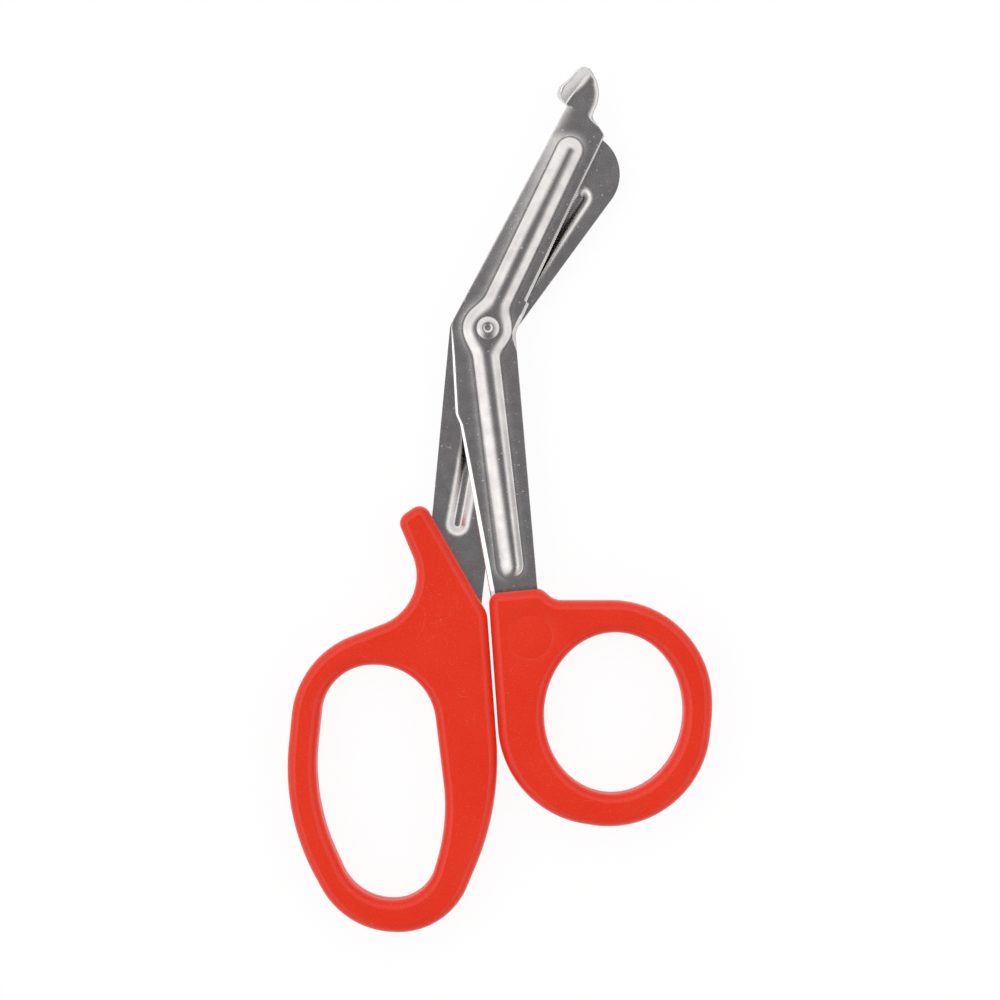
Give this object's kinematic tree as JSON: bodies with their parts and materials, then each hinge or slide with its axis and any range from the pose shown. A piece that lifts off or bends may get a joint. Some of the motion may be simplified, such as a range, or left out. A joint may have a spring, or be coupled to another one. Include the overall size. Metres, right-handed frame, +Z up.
{
  "type": "bandage scissors",
  "caption": "Angled bandage scissors with pressed sheet-steel blades, a blunt folded shoe tip, a riveted pivot and moulded plastic thumb-ring and finger-loop handles.",
  "frame": {"origin": "on the pivot's axis, at the flat end of the rivet's tail, in the plane that the handles rest on", "axes": "+Y from the pivot to the blade tips, +X to the thumb ring, +Z up through the rivet to its head"},
  "size_m": [0.093, 0.1901, 0.0087],
  "materials": {
    "blade_steel": "tumbled stainless sheet with a dull sheen and bright rolled edges",
    "rivet_steel": "satin",
    "handle_plastic": "orange-red moulded plastic with a soft sheen"
  },
  "bodies": {
    "finger_side": {"plain_blade": "blade_steel", "finger_loop_handle": "handle_plastic", "pivot_rivet": "rivet_steel"},
    "thumb_side": {"shoe_blade": "blade_steel", "thumb_ring_handle": "handle_plastic"}
  },
  "joints": [
    {"name": "pivot", "type": "hinge", "parent": "finger_side", "child": "thumb_side", "pos_m": [0, 0, 0.004], "axis": [0, 0, 1], "range_deg": [0, 75]}
  ]
}
